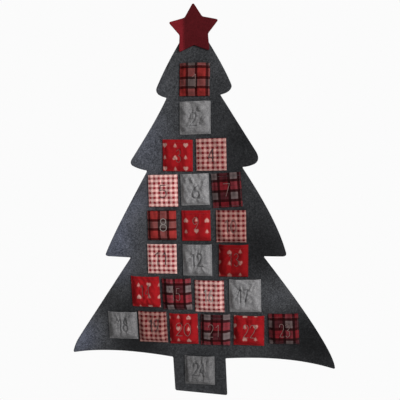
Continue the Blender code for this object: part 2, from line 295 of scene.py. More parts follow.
# Gingham: threads run cream, then red, half a check each, both across and up
def ginghamFinish():
    finish = cottonFinish("gingham")
    across, up = finish.cloth()
    half = gingham["blur"] / 2

    def threads(along):
        away = finish.maths("ABSOLUTE", finish.maths("FRACT", along / gingham["check"]) - 0.5)
        return finish.blend(finish.slope(away, 0.25 + half, 0.25 - half), gingham["cream"], gingham["red"])

    return wovenFinish(finish, across, up, threads(across), threads(up))


# Tartans: the sett is the width in millimetres and dye of each band in turn. Black lines show over the
# threads that cross them. Where grey crosses red, greyUp tints grey that runs up, and greyAcross the rest.
tartans = {
    "tartan": {
        "sett": [(20.0, "red"), (6.8, "black"), (2.0, "greyEdge"), (12.4, "grey"), (2.0, "greyEdge"),
                 (6.8, "black")],
        "dyes": {"red": (0.245, 0.023, 0.021), "black": blackLine, "greyEdge": (0.13, 0.098, 0.094),
                 "grey": (0.090, 0.068, 0.064)},
        "blackShare": 0.68, "greyUp": (1, 1, 1), "greyAcross": (1, 1, 1),
    },
    "darkTartan": {
        "sett": [(8.6, "red"), (2.2, "deepRed"), (8.6, "red"), (6.6, "black"),
                 (5.8, "greyEdge"), (5.8, "grey"), (5.8, "greyEdge"), (6.6, "black")],
        "dyes": {"red": (0.155, 0.0105, 0.0155), "deepRed": (0.085, 0.0055, 0.0085), "black": blackLine,
                 "greyEdge": (0.134, 0.101, 0.100), "grey": (0.090, 0.067, 0.066)},
        "blackShare": 0.76, "greyUp": (1.10, 0.46, 0.56), "greyAcross": (0.42, 0.23, 0.28),
    },
}


def tartanFinish(name):
    look = tartans[name]
    finish = cottonFinish(name)
    across, up = finish.cloth()
    total = sum(width for width, _ in look["sett"])
    bands, blacks, greys, place = [], [], [], 0
    for width, dye in look["sett"]:
        bands.append((place / total, look["dyes"][dye]))
        blacks.append((place / total, (float(dye == "black"),) * 3))
        greys.append((place / total, (float(dye.startswith("grey")),) * 3))
        place += width

    def threads(along):  # the colour of the thread, 1 in a black line, and 1 in a grey band
        share = finish.maths("FRACT", along / total)
        return [finish.ramp(share, stops, "CONSTANT") for stops in (bands, blacks, greys)]

    (warp, warpBlack, warpGrey), (weft, weftBlack, weftGrey) = threads(across), threads(up)
    tint = finish.blend(finish.maths("MAXIMUM", warpGrey - weftGrey, 0), (1, 1, 1), look["greyUp"])
    tint = finish.blend(finish.maths("MAXIMUM", weftGrey - warpGrey, 0), tint, look["greyAcross"])
    warp, weft = (finish.blend(1, colour, tint, "MULTIPLY") for colour in (warp, weft))
    line = finish.maths("MAXIMUM", warpBlack, weftBlack) * look["blackShare"]
    return wovenFinish(finish, across, up, warp, weft, line)


# Sizes in millimetres: steps of the grid, the heart's half width and the fir's half height, and the soft edge
printed = {
    "ground": (0.33, 0.0090, 0.0122), "deep": (0.235, 0.0064, 0.0090), "motif": (0.47, 0.25, 0.215),
    "across": 27.0, "up": 29.5, "heart": 5.7, "fir": 4.2, "edge": 1.3,
    "heartShares": {"tall": 1.15, "up": 0.12, "dip": 0.72},
    "firSlant": 0.62,
    "firShares": {"up": 0.2, "lowTip": 0.62, "foot": 0.55, "highTip": 0.95, "step": 0.25,
                  "trunkSide": 0.14, "trunkDown": 0.6, "trunkReach": 0.35},
    "cloud": (40, 2, 0.5), "rub": (700, 3, 0.7), "rubbed": (0.28, 0.46),
}


# Printed cotton: hearts and small firs take turns on a grid, and every second row of hearts is turned over
def printFinish():
    finish = cottonFinish("print")
    across, up = finish.cloth()
    columns, rows = across / printed["across"], up / printed["up"]
    column, row = finish.maths("FLOOR", columns), finish.maths("FLOOR", rows)
    x = (finish.maths("FRACT", columns) - 0.5) * printed["across"]
    y = (finish.maths("FRACT", rows) - 0.5) * printed["up"]
    side = finish.maths("ABSOLUTE", x)
    # heart: x^2 + (tall y + up - dip sqrt|x|)^2 stays below 1, in heart sizes
    upright = 1 - finish.maths("FRACT", row * 0.5) * 4  # 1 in even rows, -1 in odd ones
    size, shape = printed["heart"], printed["heartShares"]
    heartX = side / size
    heartY = y * upright / size * shape["tall"] + shape["up"] - heartX ** 0.5 * shape["dip"]
    fromHeart = (finish.maths("SQRT", heartX * heartX + heartY * heartY) - 1) * size
    # fir: two triangles, one on the other, and a trunk
    fir = {name: share * printed["fir"] for name, share in printed["firShares"].items()}
    firY = y + fir["up"]
    slanted = side + firY * printed["firSlant"]
    low = finish.maths("MAXIMUM", slanted - fir["lowTip"], -1 * firY - fir["foot"])
    high = finish.maths("MAXIMUM", slanted - fir["highTip"], fir["step"] - firY)
    trunkUp = finish.maths("ABSOLUTE", firY + fir["trunkDown"]) - fir["trunkReach"]
    trunk = finish.maths("MAXIMUM", side - fir["trunkSide"], trunkUp)
    fromFir = finish.maths("MINIMUM", finish.maths("MINIMUM", low, high), trunk)
    isHeart = 1 - finish.maths("FRACT", (column + row) * 0.5) * 2
    edge = printed["edge"]
    inHeart, inFir = (finish.slope(away, edge, -edge) for away in (fromHeart, fromFir))
    motifs = inHeart * isHeart + inFir * (1 - isHeart)
    motifs = motifs * finish.slope(finish.noise(printed["rub"]), *printed["rubbed"])
    ground = finish.blend(finish.noise(printed["cloud"]), printed["ground"], printed["deep"])
    colour = finish.blend(motifs, ground, printed["motif"])
    return wovenFinish(finish, across, up, colour, colour)


# Threads: the colour of their plies, and the painted shade in the grooves between them
threadLooks = {
    "lightThread": ((0.22, 0.135, 0.118), (0.11, 0.065, 0.057)),
    "brownThread": ((0.034, 0.020, 0.019), (0.017, 0.010, 0.0095)),
    "mutedThread": ((0.14, 0.060, 0.053), (0.07, 0.030, 0.027)),
    "paleThread": ((0.33, 0.29, 0.265), (0.18, 0.155, 0.14)),
    "darkThread": ((0.080, 0.080, 0.084), (0.040, 0.040, 0.042)),
    "redThread": ((0.20, 0.006, 0.010), (0.10, 0.003, 0.005)),
    "creamThread": ((0.50, 0.33, 0.30), (0.28, 0.17, 0.155)),
    "greyThread": ((0.13, 0.132, 0.136), (0.07, 0.071, 0.074)),
}
threadMake = {
    "plyLength": 0.55, "plies": 2,  # millimetres along the thread, and plies side by side round it
    "fuzz": (2600, 3, 0.6),
    "inColour": {"ply": 0.7, "fuzz": 0.3}, "inHeight": {"ply": 0.8, "fuzz": 0.4},
    "roughness": 0.62, "fuzzRoughness": 0.2,
    "depth": 0.12 * mm,
    "shader": {"Sheen Weight": 0.1, "Specular IOR Level": 0.3},
}


# Twisted thread: slanting plies run round it, from its own flat map (along, round)
def threadFinish(name, plyColour, grooveShade):
    finish = Finish(bpy.data.materials.new(name), threadMake["shader"])
    along, around = finish.cloth()
    turns = along / threadMake["plyLength"] + around * threadMake["plies"]
    ply = finish.maths("SINE", turns * (2 * math.pi)) * 0.5 + 0.5
    fuzz = finish.noise(threadMake["fuzz"])
    shade, height = (ply * counts["ply"] + fuzz * counts["fuzz"]
                     for counts in (threadMake["inColour"], threadMake["inHeight"]))
    roughness = threadMake["roughness"] + fuzz * threadMake["fuzzRoughness"]
    # painted shade between the plies
    colour = finish.blend(shade, grooveShade, plyColour)
    return finish.finished(colour, roughness, height, threadMake["depth"])


finishes = {name: feltFinish(name, look) for name, look in felts.items()}
finishes["gingham"], finishes["print"] = ginghamFinish(), printFinish()
finishes.update({name: tartanFinish(name) for name in tartans})
finishes.update({name: threadFinish(name, *look) for name, look in threadLooks.items()})
print("finishes ready:", len(finishes))


# 0 up to low, 1 from high on, and an S curve between: 3 s^2 - 2 s^3
def ease(value, low, high):
    share = np.clip((value - low) / (high - low), 0, 1)
    return share * share * (3 - 2 * share)


# 1 at no distance, falling off as exp(-(distance/width)^2)
def fading(distance, width):
    return np.exp(-(distance / width) ** 2)


# Angles evenly round a circle
def roundAngles(count):
    return np.linspace(0, 2 * math.pi, count, endpoint=False)


# A mesh from whole arrays: points n x 3, groups of faces with the same number of corners, a flat map n x 2,
# and the painted light and tone at each point
def meshPiece(name, points, faceGroups, finish, flatMap=None, nap=None):
    mesh = bpy.data.meshes.new(name)
    corners = np.concatenate([faces.ravel() for faces in faceGroups]).astype(np.int32)
    sizes = np.concatenate([np.full(len(faces), faces.shape[1]) for faces in faceGroups])
    mesh.vertices.add(len(points))
    mesh.vertices.foreach_set("co", np.asarray(points, np.float32).ravel())
    mesh.loops.add(len(corners))
    mesh.loops.foreach_set("vertex_index", corners)
    mesh.polygons.add(len(sizes))
    mesh.polygons.foreach_set("loop_start", (np.cumsum(sizes) - sizes).astype(np.int32))
    mesh.update(calc_edges=True)
    if flatMap is not None:
        flat = np.asarray(flatMap, np.float32)[corners]
        mesh.uv_layers.new(name="cloth").data.foreach_set("uv", flat.ravel())
    if nap is not None:
        mesh.attributes.new("nap", "FLOAT", "POINT").data.foreach_set("value", np.asarray(nap, np.float32))
    mesh.validate()
    mesh.shade_smooth()
    mesh.materials.append(finishes[finish])
    piece = bpy.data.objects.new(name, mesh)
    bpy.context.scene.collection.objects.link(piece)
    return piece


# Four-cornered faces between neighbours in a grid of point numbers. Closed: the last column meets the first.
def gridFaces(index, closed=False):
    if closed:
        index = np.hstack([index, index[:, :1]])
    return np.stack([index[:-1, :-1], index[:-1, 1:], index[1:, 1:], index[1:, :-1]], -1).reshape(-1, 4)


turnedOver = [0, 3, 2, 1]  # a face's corners in the order that makes it face the other way

# The hung felt isn't flat: soft swellings stand forward of the wall, and painted light and shade make it
# lighter or darker in broad patches. Each has its middle x and z and its reach across and down in
# millimetres, then its height in millimetres or its gain.
hang = {
    "freeFrom": 85 * mm,  # how far below the nail it lies flat, under the star
    "freeAt": 230 * mm,
    "swellings": [(-255, -510, 105, 130, 5.0), (-150, -280, 75, 90, 4.0), (165, -280, 75, 90, 4.0),
                  (205, -500, 90, 130, 5.0), (95, -660, 90, 70, 3.0), (335, -800, 95, 80, 4.0),
                  (-335, -800, 110, 80, 4.0)],
    "naps": [(-85, -130, 60, 50, 1.2), (-130, -285, 75, 125, 2.1), (-235, -535, 75, 110, 3.0),
             (-200, -715, 60, 40, 0.66), (-345, -800, 85, 65, 2.9), (-165, -800, 80, 100, 0.35),
             (140, -290, 85, 120, 0.4), (150, -395, 40, 22, 1.5), (158, -560, 82, 88, 0.28),
             (205, -685, 80, 42, 1.5), (300, -805, 100, 90, 0.2), (20, -860, 140, 90, 0.85),
             (72, -106, 30, 25, 1.25), (-150, -442, 45, 35, 1.45), (-216, -646, 50, 40, 1.35),
             (-324, -826, 30, 22, 1.3), (143, -646, 40, 20, 1.35), (265, -752, 40, 28, 0.7),
             (108, -358, 30, 18, 0.7), (-144, -828, 50, 24, 0.7)],
}


# 1 in the middle of a patch, falling off as exp(-(x/across)^2 - (z/down)^2)
def patch(x, z, middleX, middleZ, across, down):
    return np.exp(-((x / mm - middleX) / across) ** 2 - ((z / mm - middleZ) / down) ** 2)


# How far the felt is moved along Y: the sum of height x patch, forward, and eased in below the star
def hangWave(x, z):
    forward = sum(height * mm * patch(x, z, *where) for *where, height in hang["swellings"])
    return -forward * ease(-z, hang["freeFrom"], hang["freeAt"])


# Painted light and shade on the felt: the product of 1 + (gain - 1) x patch, less 1
def hangNap(x, z):
    lighter = np.ones_like(x)
    for *where, gain in hang["naps"]:
        lighter = lighter * (1 + (gain - 1) * patch(x, z, *where))
    return lighter - 1


# (1-t)^2 a + 2t(1-t) b + t^2 c
def quadratic(a, b, c, t):
    t = np.asarray(t)[:, None]
    return a * (1 - t) ** 2 + b * 2 * t * (1 - t) + c * t ** 2


# The same path with points an even step apart, at least three steps, and each point's distance along it
def evenPath(points, step):
    along = np.concatenate([[0], np.cumsum(np.hypot(*np.diff(points, axis=0).T))])
    even = np.linspace(0, along[-1], max(3, round(along[-1] / step)) + 1)
    return np.stack([np.interp(even, along, points[:, k]) for k in (0, 1)], 1), even


# The outline of a plate from its corners: x and z, rounding, how far the next side bows out as a share of its
# length, and where along it. Sides and rounded corners are quadratic curves.
def roundedOutline(corners, step, sidePoints=60, cornerPoints=12):
    table = np.array(corners, float)
    here, rounding, bow, bowPlace = table[:, :2] * mm, table[:, 2] * mm, table[:, 3:4], table[:, 4:5]
    along = np.roll(here, -1, 0) - here
    middle = here + along * bowPlace + np.stack([along[:, 1], -along[:, 0]], 1) * 2 * bow
    length = np.hypot(along[:, 0], along[:, 1])
    pieces = []
    for i in range(len(here)):
        before, after = i - 1, (i + 1) % len(here)
        entry = quadratic(here[before], middle[before], here[i], [1 - rounding[i] / length[before]])[0]
        sideShares = np.linspace(rounding[i] / length[i], 1 - rounding[after] / length[i], sidePoints)
        side = quadratic(here[i], middle[i], here[after], sideShares)
        cornerShares = np.linspace(0, 1, cornerPoints, endpoint=False)
        pieces += [quadratic(entry, here[i], side[0], cornerShares), side[:-1]]
    loop = np.concatenate(pieces)
    return evenPath(np.vstack([loop, loop[:1]]), step)[0][:-1]


# True where a point lies inside the loop: a line to its right crosses the loop an odd number of times
def isInside(points, loop):
    x, z = points[:, :1], points[:, 1:]
    (x1, z1), (x2, z2) = loop.T, np.roll(loop, -1, 0).T
    crosses = (z1 > z) != (z2 > z)
    with np.errstate(divide="ignore", invalid="ignore"):
        at = x1 + (z - z1) / (z2 - z1) * (x2 - x1)
    return (crosses & (x < at)).sum(1) % 2 == 1


# How far each point is from the nearest of the marks, worked out in parts to save memory
def fromNearest(points, marks):
    return np.concatenate([np.hypot(part[:, :1] - marks[:, 0], part[:, 1:] - marks[:, 1]).min(1)
                           for part in np.array_split(points, len(points) // 2000 + 1)])


# All plates: the rim's rings and fullness, the height of a row of the triangular grid, and how clear of the
# edge it stays, both as shares of its spacing
plate = {"rimRings": 8, "rimPower": 0.7, "rowShare": 0.866, "clearShare": 0.45, "merge": 1e-9}


# A flat sheet of triangles on a triangular grid inside the edge. Its first points are the edge's own.
def flatSheet(loop, edge, spacing):
    low, high = loop.min(0), loop.max(0)
    x, z = np.meshgrid(np.arange(low[0], high[0], spacing),
                       np.arange(low[1], high[1], spacing * plate["rowShare"]))
    x = x + (np.arange(len(x)) % 2 * spacing / 2)[:, None]
    inner = np.stack([x.ravel(), z.ravel()], 1)
    inner = inner[isInside(inner, edge)]
    inner = inner[fromNearest(inner, edge) > spacing * plate["clearShare"]]
    ring = np.arange(len(edge))
    sheet = delaunay_2d_cdt([Vector(point) for point in np.vstack([edge, inner]).tolist()],
                            np.stack([ring, np.roll(ring, -1)], 1).tolist(), [], 1, plate["merge"])
    flat = np.array([tuple(point) for point in sheet[0]])
    triangles = np.array(sheet[2])
    a, b, c = (flat[triangles[:, k]] for k in range(3))
    swapped = (b - a)[:, 0] * (c - a)[:, 1] - (b - a)[:, 1] * (c - a)[:, 0] < 0
    triangles[swapped] = triangles[swapped][:, ::-1]
    return flat, triangles


# A cut felt plate: flat front and back sheets, and between them a rim, a profile carried round the outline:
# in by softEdge x (1 - sin^power), back by thickness x (1 - cos) / 2. bend(x, z) moves points along Y.
def feltPlate(name, loop, look, bend, finish, nap=None):
    around = np.roll(loop, -1, 0) - np.roll(loop, 1, 0)
    outward = np.stack([around[:, 1], -around[:, 0]], 1) / np.hypot(*around.T)[:, None]
    turn = np.linspace(0, math.pi, plate["rimRings"])
    insets = look["softEdge"] * (1 - np.sin(turn) ** plate["rimPower"])
    depths = look["thickness"] * (1 - np.cos(turn)) / 2
    rim = loop[None] - outward[None] * insets[:, None, None]  # rings x points x 2
    flat, triangles = flatSheet(loop, rim[0], look["spacing"])
    count = len(flat)
    x, z = np.vstack([flat, flat, rim[1:-1].reshape(-1, 2)]).T
    y = look["frontY"] + np.concatenate([np.zeros(count), np.full(count, look["thickness"]),
                                         np.repeat(depths[1:-1], len(loop))])
    ring = np.arange(len(loop))
    rings = 2 * count + np.arange(len(x) - 2 * count).reshape(-1, len(loop))
    rimFaces = gridFaces(np.vstack([ring + count, rings[::-1], ring]), closed=True)
    points = np.stack([x, y + bend(x, z), z], 1)
    return meshPiece(name, points, [triangles, triangles[:, ::-1] + count, rimFaces], finish,
                     nap=nap(x, z) if nap else None)


# Tree: corners down the left side, round the trunk and up the right side, in millimetres
tree = {
    "frontY": -2.0 * mm, "thickness": 4.0 * mm, "softEdge": 1.5 * mm, "edgeStep": 2.2 * mm, "spacing": 7 * mm,
    "corners": [
        (-22.8, -30, 12, 0.022, 0.6), (-98.5, -162.8, 13, 0.09, 0.4), (-69.0, -180.1, 3, -0.018, 0.4),
        (-172.5, -343.2, 13, 0.06, 0.4), (-124.5, -362.9, 3, 0.013, 0.75), (-246.5, -586.0, 13, 0, 0.5),
        (-176.0, -589.5, 3, 0.002, 0.5), (-339.5, -826.0, 20, 0, 0.5), (-347.5, -852.6, 9, -0.039, 0.36),
        (-69.5, -853.5, 2, 0, 0.5),
        (-65.8, -944.1, 5, 0, 0.5), (72.3, -949.9, 5, 0, 0.5), (69.5, -851.5, 2, -0.046, 0.63),
        (342.8, -865.9, 11, 0.041, 0.12), (169.5, -582.7, 3, 0, 0.5), (227.5, -583.0, 13, 0.041, 0.33),
        (119.3, -358.6, 3, 0.09, 0.5), (166.5, -341.2, 18, 0.0, 0.72), (67.5, -178.0, 3, 0.09, 0.5),
        (98.5, -162.8, 13, 0.024, 0.33), (30.0, -30, 12, 0, 0.5),
    ],
}
treeLoop = roundedOutline(tree["corners"], tree["edgeStep"])
treeFelt = feltPlate("tree_felt_sheet", treeLoop, tree, hangWave, "treeFelt", hangNap)
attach(treeFelt, "calendar")
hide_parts("tree_panel")
print("tree felt ready:", len(treeFelt.data.polygons), "faces")

# Star: five points, softly creased upright left of its middle, and folded forward left of the crease
star = {
    "x": 4.5 * mm, "z": -17 * mm, "points": 5, "radius": 66 * mm, "waistShare": 0.57,
    "tipRounding": 7 * mm, "waistRounding": 4 * mm,
    "frontY": -5.3 * mm, "thickness": 3 * mm, "softEdge": 1.1 * mm, "edgeStep": 1.2 * mm, "spacing": 3 * mm,
    "creaseX": -21 * mm, "creaseSoft": 7 * mm, "foldLift": 0.16, "curl": 0.6 * mm,
}


# Tips at the radius and waists at waistShare of it, by turns at equal angles. No side bows out.
def starCorners():
    number = np.arange(2 * star["points"])
    isTip = number % 2 == 0
    angle = math.pi / 2 + math.pi * number / star["points"]
    reach = np.where(isTip, 1, star["waistShare"]) * star["radius"]
    rounding = np.where(isTip, star["tipRounding"], star["waistRounding"])
    places = np.stack([star["x"] + reach * np.cos(angle), star["z"] + reach * np.sin(angle), rounding]) / mm
    return np.column_stack([*places, np.zeros_like(angle), np.full_like(angle, 0.5)])


# Forward by lift x the distance left of the crease, eased in, and a slight curl that grows as the cube of the
# distance from the middle and goes round with the points
def starBend(x, z):
    soft = star["creaseSoft"]
    left = np.sqrt(np.clip(star["creaseX"] - x, 0, None) ** 2 + soft ** 2) - soft
    fromMiddle = np.hypot(x - star["x"], z - star["z"]) / star["radius"]
    around = np.sin(np.arctan2(z - star["z"], x) * star["points"] + 1)
    return fromMiddle ** 3 * around * star["curl"] - star["foldLift"] * left


starLoop = roundedOutline(starCorners(), star["edgeStep"])
starFelt = feltPlate("star_felt_sheet", starLoop, star, starBend, "starFelt")
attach(starFelt, "calendar")
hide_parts("star")
print("star felt ready:", len(starFelt.data.polygons), "faces")

# Hanging tab: round over its hole, square below, and sewn behind the star
tab = {
    "holeZ": -6 * mm, "holeRadius": 6 * mm, "halfWidth": 12 * mm, "footDrop": 23.7 * mm, "thickness": 3 * mm,
    "corner": 0.35,  # power that squares off the cross-section
    "steps": 144, "sectionSteps": 28,
    "flat": (24 * mm, 35.7 * mm), "area": 0.00068,
}


# A squared-off cross-section carried round the hole: out by (1 - cos^corner) / 2 of the way from the hole
# to the outline, and forward or back by thickness / 2 x sin^corner
def tabPiece():
    angle, turn = roundAngles(tab["steps"])[:, None], roundAngles(tab["sectionSteps"])[None]
    with np.errstate(divide="ignore"):
        below = np.minimum(tab["halfWidth"] / np.abs(np.cos(angle)), tab["footDrop"] / np.abs(np.sin(angle)))
    reach = np.where(np.sin(angle) >= 0, tab["halfWidth"], below)
    aside, forward = (np.sign(wave) * np.abs(wave) ** tab["corner"] for wave in (np.cos(turn), np.sin(turn)))
    radius = tab["holeRadius"] + (reach - tab["holeRadius"]) * (0.5 - 0.5 * aside)
    points = np.stack([radius * np.cos(angle), np.broadcast_to(-forward * tab["thickness"] / 2, radius.shape),
                       tab["holeZ"] + radius * np.sin(angle)], -1)
    index = np.arange(radius.size).reshape(radius.shape)
    faces = gridFaces(np.vstack([index, index[:1]]), closed=True)
    return meshPiece("hanging_tab_felt", points.reshape(-1, 3), [faces], "treeFelt")


tabFelt = tabPiece()
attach(tabFelt, "tab")
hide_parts("hanging_tab")
print("tab ready")

# Numbers: strokes of each digit, as shares of its width and height from its lower left corner
digits = {
    "0": [("ring", [(0.5, 1), (0.1, 0.8), (0, 0.5), (0.1, 0.2), (0.5, 0), (0.9, 0.2), (1, 0.5), (0.9, 0.8)])],
    "1": [("line", [(0.2, 0.78), (0.65, 1), (0.65, 0)])],
    "2": [("curve", [(0.04, 0.76), (0.14, 0.93), (0.5, 1), (0.87, 0.92), (0.95, 0.72), (0.72, 0.45),
                     (0.03, 0.01)]),
          ("line", [(0.03, 0.01), (1, 0.01)])],
    "3": [("curve", [(0.05, 0.87), (0.4, 1), (0.84, 0.92), (0.85, 0.66), (0.42, 0.54)]),
          ("curve", [(0.42, 0.54), (0.9, 0.42), (0.95, 0.16), (0.5, 0), (0.03, 0.12)])],
    "4": [("line", [(0.73, 0), (0.73, 1), (0.02, 0.3)]), ("line", [(0.02, 0.3), (1, 0.3)])],
    "5": [("line", [(0.9, 1), (0.18, 1), (0.12, 0.57)]),
          ("curve", [(0.12, 0.57), (0.5, 0.63), (0.92, 0.5), (0.95, 0.2), (0.55, 0), (0.03, 0.1)])],
    "6": [("curve", [(0.83, 1), (0.35, 0.78), (0.06, 0.45), (0.1, 0.14), (0.5, 0), (0.92, 0.16), (0.92, 0.42),
                     (0.58, 0.56), (0.27, 0.46)])],
    "7": [("line", [(0.02, 1), (0.97, 1), (0.36, 0)])],
    "8": [("ring", [(0.5, 1), (0.14, 0.9), (0.14, 0.66), (0.5, 0.53), (0.86, 0.66), (0.86, 0.9)]),
          ("ring", [(0.5, 0.54), (0.04, 0.4), (0.04, 0.13), (0.5, 0), (0.96, 0.13), (0.96, 0.4)])],
    "9": [("curve", [(0.17, 0), (0.65, 0.22), (0.94, 0.55), (0.9, 0.86), (0.5, 1), (0.08, 0.84), (0.08, 0.58),
                     (0.42, 0.44), (0.73, 0.54)])],
}
numbers = {
    "height": 32 * mm, "loneWidth": 17 * mm, "pairWidth": 13.5 * mm, "pairGap": 4 * mm,
    "curveSteps": 16, "pathStep": 0.3 * mm, "markEvery": 4,
    # how far right of and above its pocket's middle in millimetres, and its width as a share
    "places": {
        1: (0, -3, 1), 2: (-5, -4, 0.9), 3: (2.5, -1.5, 0.68), 4: (0, -1, 0.9), 5: (-1, -2, 1.1),
        6: (1.5, -6, 1.1), 7: (0, 0, 1), 8: (4.7, 1.5, 0.95), 9: (-1, 5.5, 0.85), 10: (-2.5, 0, 0.95),
        11: (-3, 1, 1.12), 12: (-3, 0, 0.9), 13: (0, 3, 0.85), 14: (-1, 2, 0.9), 15: (-3, 0, 0.8),
        16: (-3, 2, 0.8), 17: (-6.4, 0, 0.85), 18: (0, 2, 0.82), 19: (3, 4, 0.85), 20: (0, 0, 1.25),
        21: (-2.5, -1, 1), 22: (1, 0, 1), 23: (2, -3, 0.82), 24: (-2.5, 3, 1),
    },
    # threads that differ from others on their fabric, and how much thicker some are
    "threads": {3: "mutedThread", 8: "paleThread", 10: "mutedThread", 13: "mutedThread", 14: "mutedThread",
                16: "paleThread"},
    "bolder": {2: 0.85, 4: 1.3, 5: 1.35, 8: 1.3, 10: 1.5, 11: 1.5, 16: 1.5, 19: 1.5},
}


# Catmull-Rom curve through the corners: half of 2b + (c-a)t + (2a-5b+4c-d)t^2 + (3b-a-3c+d)t^3 from b to c
def smoothPath(corners, closed):
    b = np.array(corners, float)
    if closed:
        a, c, d = np.roll(b, 1, 0), np.roll(b, -1, 0), np.roll(b, -2, 0)
    else:
        a, c, d = np.vstack([b[:1], b[:-2]]), b[1:], np.vstack([b[2:], b[-1:]])
        b = b[:-1]
    t = np.linspace(0, 1, numbers["curveSteps"], endpoint=False)[None, :, None]
    a, b, c, d = (v[:, None] for v in (a, b, c, d))
    path = (2 * b + (c - a) * t + (2 * a - 5 * b + 4 * c - d) * t ** 2 + (3 * b - a - 3 * c + d) * t ** 3) / 2
    path = path.reshape(-1, 2)
    return np.vstack([path, path[:1] if closed else c[-1]])


# The strokes of a day's number: each digit's shares x its width and height, side by side about the middle
def numberStrokes(day):
    text = str(day)
    right, above, wide = numbers["places"][day]
    width = numbers["loneWidth" if len(text) == 1 else "pairWidth"] * wide
    gap, height = numbers["pairGap"] * wide, numbers["height"]
    strokes, start = [], right * mm - (len(text) * width + (len(text) - 1) * gap) / 2
    for digit in text:
        for kind, corners in digits[digit]:
            path = np.array(corners, float) if kind == "line" else smoothPath(corners, kind == "ring")
            strokes.append(path * (width, height) + (start, above * mm - height / 2))
        start += width + gap
    return strokes


# Pockets: fabric, middle x and z, width and height in millimetres, turn and lean in degrees, how far the
# fabric's pattern is shifted across and up on it, and how light it is painted: partly its cloth's own tone,
# partly painted shade
pockets = {
    1: ("tartan", 4.2, -139, 75, 79.2, 2, 0, 42, 43, 0.86),
    2: ("greyFelt", 3, -233.3, 77.3, 80.8, 0, 1, 0, 0, 0.96),
    3: ("print", -43.5, -326, 75.8, 78.4, 2, -1, -8, -9.8, 0.93),
    4: ("gingham", 42.3, -326, 75, 79.2, 0, 0, 2.3, 1.6, 0.7),
    5: ("gingham", -84, -415.3, 75.8, 80.8, 0, 0, 3.3, 11.4, 1.18),
    6: ("greyFelt", -1.2, -413.1, 71.3, 78.4, -1, 0, 0, 0, 1.13),
    7: ("darkTartan", 79.8, -415.3, 72.8, 84.8, -3, 0, 15.8, -1, 0.86),
    8: ("tartan", -89.4, -504.1, 74.3, 76, 0, 0, 29.5, 33.4, 1.1),
    9: ("print", 0, -505.2, 72.8, 76.8, 0, 0, 12, 29.3, 0.93),
    10: ("gingham", 89.4, -506.9, 74.3, 80, 0, 0, -0.5, 4.2, 0.54),
    11: ("gingham", -91.2, -591.8, 75.8, 76, 0, 0, 1, 11.2, 1.06),
    12: ("greyFelt", 1.2, -594, 74.3, 80, 0, 0, 0, 0, 1.01),
    13: ("print", 94.2, -594, 72.8, 80.8, 0, 1, -4, 20, 0.63),
    14: ("print", -137.7, -679, 74.3, 80, 1, -3, 2.3, -4, 0.93),
    15: ("darkTartan", -54.3, -683.9, 75, 80.8, -1, -1, 1.5, 20.1, 1.22),
    16: ("gingham", 30.9, -687.2, 74.3, 81.6, 0, 0, 6.7, 2.2, 0.91),
    17: ("greyFelt", 122.1, -683.9, 78.8, 83.2, -1, 1, 0, 0, 1.08),
    18: ("greyFelt", -202.5, -771.3, 77.3, 72, 0, -2, 0, 0, 0.8),
    19: ("gingham", -120.9, -772.9, 74.3, 80.8, 0, -2, -2.8, 1.9, 0.47),
    20: ("print", -38.1, -775.1, 72.8, 79.2, -1, 0, 26, 12.3, 0.9),
    21: ("darkTartan", 44.7, -775.1, 75, 80, -1, 2, 5.6, -1, 1.05),
    22: ("print", 130.5, -773.9, 75.8, 76.8, 0, 1, -3.8, 3.7, 0.85),
    23: ("darkTartan", 217.5, -766.4, 72.8, 76.8, -2, 0, 21.4, 21.8, 0.8),
    24: ("greyFelt", 1.2, -884.6, 77.3, 75.2, 0, 0, 0, 0, 0.66),
}
fabrics = {
    "tartan": {"kind": "cotton", "slot": "tartan", "seam": "redThread", "number": "lightThread"},
    "darkTartan": {"kind": "cotton", "slot": "dark_tartan", "seam": "darkThread", "number": "lightThread"},
    "greyFelt": {"kind": "felt", "slot": "grey_felt", "seam": "greyThread", "number": "darkThread"},
    "print": {"kind": "cotton", "slot": "red_print", "seam": "redThread", "number": "lightThread"},
    "gingham": {"kind": "cotton", "slot": "gingham", "seam": "creamThread", "number": "brownThread"},
}
